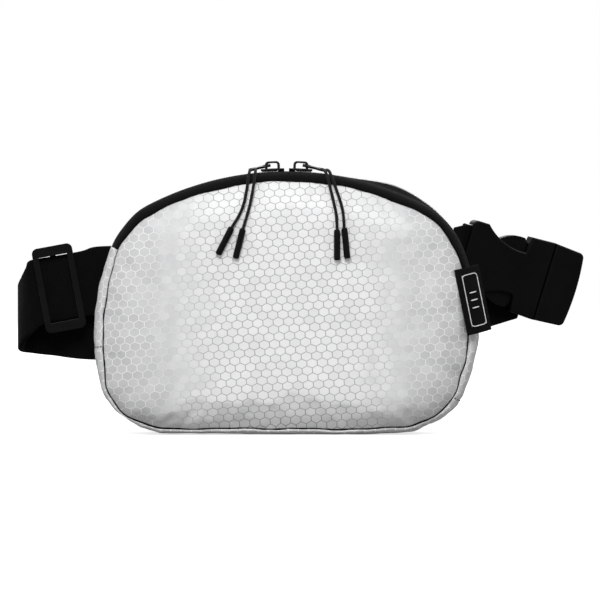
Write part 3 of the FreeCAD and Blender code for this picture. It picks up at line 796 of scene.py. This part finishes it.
def binding_and_shadow_width(s):
    """Radius of the dark line, the black binding tube widened to stand in for the seam's shadow as well: the
    seam gapes at the lower corners and closes towards the zipper.
    """
    gape = min(1.0, max(0.0, (abs(s) - 112.0) / 34.0))
    corner = math.exp(-((abs(s) - 214.0) / 16.0) ** 2)
    return max(0.08, 0.1 + 0.2 * gape + 0.2 * corner + 0.22 * noise.noise(Vector((s / 4.0, 8.8, 0.0))))


def make_seams():
    line = [skin_point(s, seam_inset(s), FRONT_SEAM_Y - 0.45) for s in SEAM_STATIONS]
    # The front seam's dark line is partly the real black binding, partly a painted shadow of the gaping seam.
    front = tube("seam_front", line, [binding_and_shadow_width(s) for s in SEAM_STATIONS])
    settle(front, "binding", "root", ["seam_binding_front"])
    line = [skin_point(s, REAR_SEAM_INSET, REAR_SEAM_Y + 0.2) for s in SEAM_STATIONS]
    rear = tube("seam_rear", line, 0.38)
    settle(rear, "binding", "root", ["seam_binding_rear"])


THREAD = 0.24                 # radius of a sewn or woven thread


def make_gusset_stitches():
    """Short dark stitches across the gusset where its lengths are joined."""
    threads = []
    for at in GUSSET_SEAMS:
        line = smooth_line([skin_point(at, inset - 0.1, y) for inset, y in gusset_profile(at)[1:-1]], 0.4)
        for k in range(0, len(line) - 5, 5):
            threads.append(tube("stitch", line[k:k + 4], THREAD, 6))
    settle(joined("gusset_stitches", threads), "binding", "root", material=SEAM_THREAD)


def make_linings():
    """Linings of the front and back, inside the shell where only an open zipper shows them."""
    for name, y, sign, inset, node in (("lining_front", FRONT_SEAM_Y, -1.0, 7.4, "front_lining"),
                                       ("lining_back", REAR_SEAM_Y - 0.8, 0.0, 7.2, "back_lining")):
        points, uvs = [], []
        for reach, way in square_grid(LINING_CELLS):
            edge = skin_point(way * HALF_ROUND, inset, 0.0)
            flat = PANEL_MIDDLE.lerp(edge, reach)
            depth = (edge - flat).length
            swell = 6.0 * (1 - math.exp(-depth / 8.0)) * sign
            points.append(Vector((flat.x, y + swell + 0.15 * noise.noise(flat / 9.0), flat.z)))
            uvs.append((flat.x, flat.z))
        piece = mesh_object(name, points, grid_faces(LINING_CELLS + 1, LINING_CELLS + 1), uvs)
        apply_modifier(piece, "SOLIDIFY", thickness=0.25 * MM, offset=0.0)
        settle(piece, "lining", "root", [node])


# ---- zipper teeth ------------------------------------------------------------------------------
TOOTH_PITCH = 1.35
TOOTH_HEAD_Y = 0.05
TOOTH_SPAN = 2.6
TOOTH_RISE = 0.26
TOOTH_HALF_HEIGHT = 0.42
TOOTH_SIDES = 8
# how far behind its head each ring of a tooth is, and half its width there
TOOTH_RINGS = ((0.0, 0.30), (0.18, 0.46), (0.7, 0.40), (1.9, 0.36), (TOOTH_SPAN - 0.2, 0.42),
               (TOOTH_SPAN, 0.2))


def make_coils():
    corners = range(TOOTH_SIDES)
    last = (len(TOOTH_RINGS) - 1) * TOOTH_SIDES
    sides = grid_faces(len(TOOTH_RINGS), TOOTH_SIDES, wrap=True)
    tooth = sides + [tuple(reversed(corners)), tuple(last + v for v in corners)]
    count = round((ZIP_RIGHT - ZIP_LEFT) / TOOTH_PITCH)
    for name, way, shift in (("front", -1, 0.0), ("rear", 1, 0.5)):
        points, faces, uvs = [], [], []
        for k in range(count):
            s = ZIP_LEFT + (k + shift) * TOOTH_PITCH
            base = len(points)
            for reach, half in TOOTH_RINGS:
                high = min(half, TOOTH_HALF_HEIGHT)
                for q in corners:
                    angle = 2 * PI * q / TOOTH_SIDES
                    along = s + half * math.cos(angle)
                    height = TOOTH_RISE - TOOTH_HALF_HEIGHT + high * math.sin(angle)
                    points.append(skin_point(along, -height, way * (TOOTH_HEAD_Y + reach)))
                    uvs.append((along, reach))
            faces += [tuple(base + v for v in face) for face in tooth]
        piece = mesh_object("zip_coil_" + name, points, faces, uvs)
        recalculate(piece)
        settle(piece, "zipper_coil", "root", ["zipper_coil_" + name])


def recalculate(piece):
    """Normals outwards on closed shapes."""
    shape = bmesh.new()
    shape.from_mesh(piece.data)
    bmesh.ops.recalc_face_normals(shape, faces=shape.faces)
    shape.to_mesh(piece.data)
    shape.free()


# ---- webbing -------------------------------------------------------------------------------------
WEBBING_WIDTH = 35.0
WEBBING = 1.4
LAYER_STEP = 0.85             # from the middle of the doubled webbing to each layer's
GLIDE_CENTRE = Vector((-122.4, 19.0, 76.8))
GLIDE_TILT = math.radians(10.5)
GLIDE_UP = Vector((-math.sin(GLIDE_TILT), 0.0, math.cos(GLIDE_TILT)))
GLIDE_YAW = math.radians(5.5)
GLIDE_OUTWARDS = 12.6
GLIDE_INWARDS = 15.6
BUCKLE_DROP = math.radians(17.0)
BUCKLE_YAW = math.radians(12.0)
BUCKLE_START = Vector((94.3, 28.6, 94.0))
BUCKLE_U = Vector((math.cos(BUCKLE_DROP) * math.cos(BUCKLE_YAW), math.sin(BUCKLE_YAW),
                   -math.sin(BUCKLE_DROP) * math.cos(BUCKLE_YAW)))
BUCKLE_V = Vector((math.sin(BUCKLE_DROP), 0.0, math.cos(BUCKLE_DROP)))
BUCKLE_W = BUCKLE_U.cross(BUCKLE_V)
UP = Vector((0.0, 0.0, 1.0))
# middle line of the doubled webbing behind the pack, from the buckle to the left fold, and round it
BACK_RUN = [(130.5, 45.6, 76.6), (92.0, 38.4, 68.0), (56.0, 27.0, 65.0), (-20.0, 26.6, 60.5),
            (-96.0, 27.6, 55.6), (-128.0, 33.2, 57.8)]
FOLD = [(-138.0, 18.3, 70.5), (-141.6, 21.0, 65.5), (-143.5, 25.4, 61.2), (-142.4, 29.9, 59.7),
        (-138.5, 32.7, 59.0)]
FOLD_MIDDLE = Vector((-134.0, 26.0, 0.0))
ANCHOR_RUN = [(-84.0, 23.2, 82.6), (-100.0, 23.3, 81.9)]
# along and behind the tri-glide, round its middle bar
END_LOOP = ((7.6, 2.4), (3.4, 3.0), (0.0, 4.2), (-3.4, 3.1))
# along the buckle and to its front, round the plug's bar and round the socket's
PLUG_LOOP = ((47.9, -9.6), (56.6, -8.6), (61.0, -6.6), (61.6, -3.4), (60.0, -0.6), (55.6, -0.6),
             (53.8, -3.4), (52.2, -6.4), (46.9, -7.6))
TAB_START = Vector((90.2, 23.5, 92.1))
TAB_LOOP = ((-1.0, 1.5), (6.4, 1.5), (8.2, -1.1), (6.4, -3.8), (-1.0, -3.3), (-3.5, -1.6))


def glide_along():
    flat = Vector((-GLIDE_UP.z, 0.0, GLIDE_UP.x))
    return flat * math.cos(GLIDE_YAW) + GLIDE_UP.cross(flat) * math.sin(GLIDE_YAW)


def at_buckle(pairs):
    """Stations for a ribbon as wide as the buckle, from places along it and to its front."""
    return [(BUCKLE_START + BUCKLE_U * u + BUCKLE_W * w, BUCKLE_V) for u, w in pairs]


def make_webbing():
    along = glide_along()
    back = along.cross(GLIDE_UP)
    start = GLIDE_CENTRE - along * GLIDE_INWARDS
    end = GLIDE_CENTRE + along * GLIDE_OUTWARDS
    outer = [(place, GLIDE_UP) for place in (*ANCHOR_RUN, start, GLIDE_CENTRE, end)]
    inner = [(end + back * 2 * LAYER_STEP, GLIDE_UP)]
    for i, place in enumerate(FOLD):
        point = Vector(place)
        away = point - FOLD_MIDDLE
        away.z = 0.0
        away = away.normalized() * LAYER_STEP
        lean = UP if i else (UP + GLIDE_UP).normalized()
        outer.append((point + away, lean))
        inner.append((point - away, lean))
    step = Vector((0.0, LAYER_STEP, 0.0))
    for i, place in enumerate(reversed(BACK_RUN)):
        across = BUCKLE_V if i == len(BACK_RUN) - 1 else UP
        outer.append((Vector(place) + step, across))
        inner.append((Vector(place) - step, across))
    end_loop = [(GLIDE_CENTRE + along * a + back * b, GLIDE_UP) for a, b in END_LOOP]
    tab = [(TAB_START, UP)] + at_buckle(TAB_LOOP)
    pieces = (
        ("strap_outer", outer, WEBBING_WIDTH, WEBBING, 1.5, "root",
         ["waist_strap_anchor", "waist_strap_outer"]),
        ("strap_inner", inner, WEBBING_WIDTH, WEBBING, 1.5, "root", ["waist_strap_inner"]),
        ("strap_end", end_loop, WEBBING_WIDTH - 0.6, 1.0, 0.8, "glide", ["strap_end_loop"]),
        ("strap_plug", at_buckle(PLUG_LOOP), WEBBING_WIDTH, WEBBING, 0.9, "plug", ["strap_plug_loop"]),
        ("strap_tab", tab, WEBBING_WIDTH, WEBBING, 0.9, "root", ["buckle_tab"]),
    )
    for name, stations, width, thickness, step, body, nodes in pieces:
        settle(ribbon(name, stations, width, thickness, step), "webbing", body, nodes)


# ---- woven label ----------------------------------------------------------------------------------
LABEL_LEAN = math.radians(11.5)
LABEL_UP = Vector((-math.sin(LABEL_LEAN), 0.0, math.cos(LABEL_LEAN)))
LABEL_LONG = 35.0
LABEL_INNER = Vector((91.2, -23.9, 69.9))
LABEL_BOW = Vector((97.6, -23.1, 71.3))
LABEL_OUTER = Vector((103.9, -20.4, 73.0))
FRAME_LOW, FRAME_HIGH = 0.26, 0.86      # the woven frame's sides, as parts of the label's width
FRAME_REACH = 13.6            # mm from the label's middle to the frame's ends
CORNER_WIDE, CORNER_LONG = 0.13, 1.7    # its corners' radius, across in parts and along in mm
BAR_INSET = 0.16
BAR_PLACES = (4.0, 0.0, -4.0)


def on_label(t, v):
    """Just in front of the label: t runs across it from 0 to 1, v along it from its middle."""
    if t < 0.5:
        line = LABEL_INNER.lerp(LABEL_BOW, t * 2)
    else:
        line = LABEL_BOW.lerp(LABEL_OUTER, t * 2 - 1)
    rise = 0.35 * math.sin(PI * t)
    return line + LABEL_UP * v + Vector((-0.05, -0.55 - rise, 0.0))


def make_label():
    """A folded satin label with a plain woven frame and three plain bars."""
    stations = [(place, LABEL_UP) for place in (LABEL_INNER, LABEL_BOW, LABEL_OUTER)]
    cloth = ribbon("label_cloth", stations, LABEL_LONG, 0.8, 0.8, 24)
    settle(cloth, "label", "root", ["side_label"])

    frame_line = []
    high, low, end = FRAME_HIGH - CORNER_WIDE, FRAME_LOW + CORNER_WIDE, FRAME_REACH - CORNER_LONG
    for first, (t, v) in enumerate(((high, end), (low, end), (low, -end), (high, -end))):
        for k in range(5):
            angle = PI / 2 * (first + k / 4)
            frame_line.append(on_label(t + CORNER_WIDE * math.cos(angle), v + CORNER_LONG * math.sin(angle)))
    frame_line.append(frame_line[0].copy())
    threads = [tube("frame_thread", smooth_line(frame_line, 0.8), THREAD, 6)]
    bar_start, bar_long = FRAME_LOW + BAR_INSET, FRAME_HIGH - FRAME_LOW - 2 * BAR_INSET
    for v in BAR_PLACES:
        bar = [on_label(bar_start + bar_long * k / 6, v) for k in range(7)]
        threads.append(tube("bar_thread", bar, 0.34, 6))
    settle(joined("label_threads", threads), "label", "root", material=LABEL_THREAD)


# ---- pull cords -----------------------------------------------------------------------------------
CORD_DIAMETER = 1.6
CORD_ROUTES = {
    "left_outer": [(-18.9, -2.9, 140.0), (-19.2, -10.5, 140.0), (-19.9, -18.6, 136.2), (-20.6, -24.6, 129.6),
                   (-22.2, -28.0, 120.8), (-25.4, -29.2, 114.0), (-28.4, -29.9, 109.4)],
    "left_inner": [(-16.5, -2.9, 140.2), (-16.2, -10.5, 140.1), (-16.5, -18.6, 136.4), (-17.4, -24.6, 129.8),
                   (-19.0, -28.0, 120.6), (-21.0, -29.2, 114.0), (-22.6, -29.9, 108.6)],
    "right_inner": [(18.6, -2.9, 140.1), (19.9, -10.5, 140.0), (21.6, -18.6, 136.1), (23.0, -24.6, 129.6),
                    (25.0, -28.0, 121.2), (26.3, -29.2, 114.8), (26.4, -29.9, 108.2)],
    "right_outer": [(21.0, -2.9, 139.8), (22.2, -10.5, 139.8), (23.7, -18.6, 136.0), (26.0, -24.6, 129.4),
                    (28.7, -28.0, 121.4), (29.9, -29.2, 115.2), (30.1, -29.9, 109.0)],
}


def curve_object(name, route):
    data = bpy.data.curves.new(name, "CURVE")
    data.dimensions = "3D"
    data.bevel_depth = CORD_DIAMETER / 2 * MM
    data.bevel_resolution = 4
    data.resolution_u = 10
    data.use_fill_caps = True
    spline = data.splines.new("NURBS")
    spline.points.add(len(route) - 1)
    for point, place in zip(spline.points, route):
        point.co = (*(Vector(place) * MM), 1.0)
    spline.order_u = 3
    spline.use_endpoint_u = True
    piece = bpy.data.objects.new(name, data)
    bpy.context.scene.collection.objects.link(piece)
    return piece


def make_cords():
    for name, route in CORD_ROUTES.items():
        body = "cords_" + name.split("_")[0]
        piece = curve_object("cord_" + name, route)
        settle(piece, "cord", body, ["pull_cord_" + name])


# ---- CAD nodes keep their shape and take finished materials ---------------------------------------
def finish_nodes():
    slots = {part["node"]: part["material_slot"] for part in frame["record"]["subparts"]}
    for name, node in frame["nodes"].items():
        node.data.materials.clear()
        node.data.materials.append(MATERIALS[slots[name]])


FLOOR_HALF = 6.0              # metres
FLOOR_GLOW = 0.72


def make_floor():
    reach = FLOOR_HALF
    mesh = bpy.data.meshes.new("floor")
    mesh.from_pydata([(-reach, -reach, 0), (reach, -reach, 0), (reach, reach, 0), (-reach, reach, 0)],
                     [], [(0, 1, 2, 3)])
    floor = bpy.data.objects.new("floor", mesh)
    bpy.context.scene.collection.objects.link(floor)
    s = Shader("floor_paper", roughness=0.9, specular=0.05)
    s.set("Base Color", s.blend(s.noise(s.place(), 3.0), (0.90, 0.90, 0.90), (0.93, 0.93, 0.93)))
    s.set("Emission Color", (1.0, 1.0, 1.0))
    s.set("Emission Strength", FLOOR_GLOW)
    dim = s.node("BsdfDiffuse", {"Color": (0.40, 0.40, 0.40, 1.0)})
    seen = s.node("LightPath", output="Is Camera Ray")
    shown = s.node("MixShader", [seen, dim, s.bsdf.outputs[0]])
    s.tree.links.new(shown, s.tree.nodes["Material Output"].inputs["Surface"])
    mesh.materials.append(s.material)


make_camera()
make_cords()
make_studio()
make_floor()
make_front_panel()
make_bands()
make_back_panel()
make_seams()
make_gusset_stitches()
make_linings()
make_coils()
make_webbing()
make_label()
finish_nodes()
